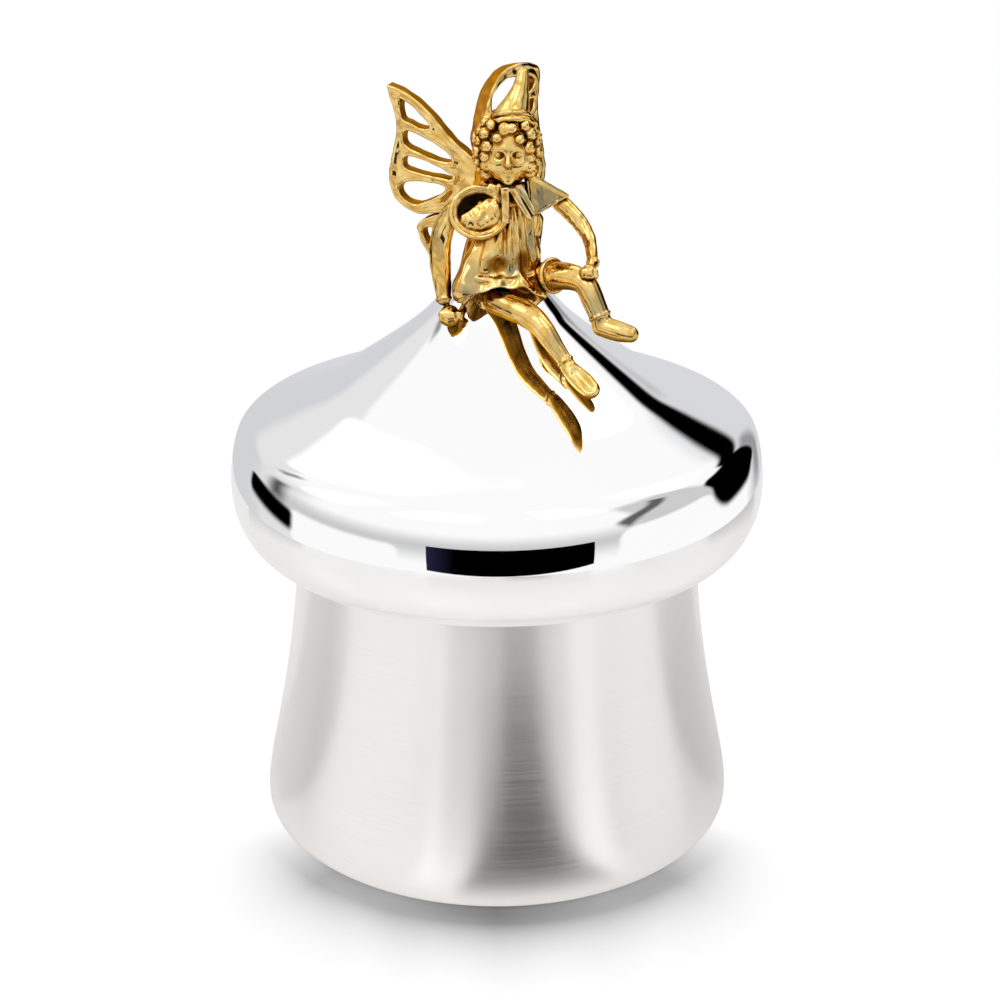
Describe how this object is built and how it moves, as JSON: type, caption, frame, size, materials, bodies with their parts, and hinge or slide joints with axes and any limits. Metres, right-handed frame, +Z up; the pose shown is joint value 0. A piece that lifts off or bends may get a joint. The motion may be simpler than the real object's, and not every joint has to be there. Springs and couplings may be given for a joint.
{
  "type": "tooth keepsake box",
  "caption": "Small round metal keepsake box with a flared satin base, a lift-off polished cone lid and a gilt winged figure seated on its peak.",
  "frame": {"origin": "centre of the felt pad's underside, on the surface that the box stands on", "axes": "+Z up along the axis of the box and its lid; the seated figure faces -Y, its left side is +X"},
  "size_m": [0.05, 0.05, 0.0718],
  "materials": {
    "satin_steel": "satin, fine level brush lines",
    "turned_steel": "turned, semi-bright",
    "mirror_polish": "mirror polished",
    "fixing_steel": "zinc plated",
    "antique_gilt": "polished antique gilt with dark recesses",
    "velvet": "short pile",
    "black_felt": "pressed felt"
  },
  "bodies": {
    "base": {"base_shell": "satin_steel", "base_plate": "satin_steel", "felt_pad": "black_felt", "floor_lining": "velvet", "mouth_collar": "turned_steel"},
    "lid": {"lid_shell": "mirror_polish", "lid_under_ring": "turned_steel", "screw_washer": "fixing_steel", "figure_screw": "fixing_steel", "figure_body": "antique_gilt", "figure_head": "antique_gilt", "figure_hat": "antique_gilt", "figure_collar": "antique_gilt", "right_arm": "antique_gilt", "left_arm": "antique_gilt", "right_leg": "antique_gilt", "left_leg": "antique_gilt", "wing_bracket": "antique_gilt", "right_wing": "antique_gilt", "left_wing": "antique_gilt"}
  },
  "joints": [
    {"name": "lid_lift", "type": "slide", "parent": "base", "child": "lid", "axis": [0, 0, 1], "range_m": [0, 0.05]}
  ]
}
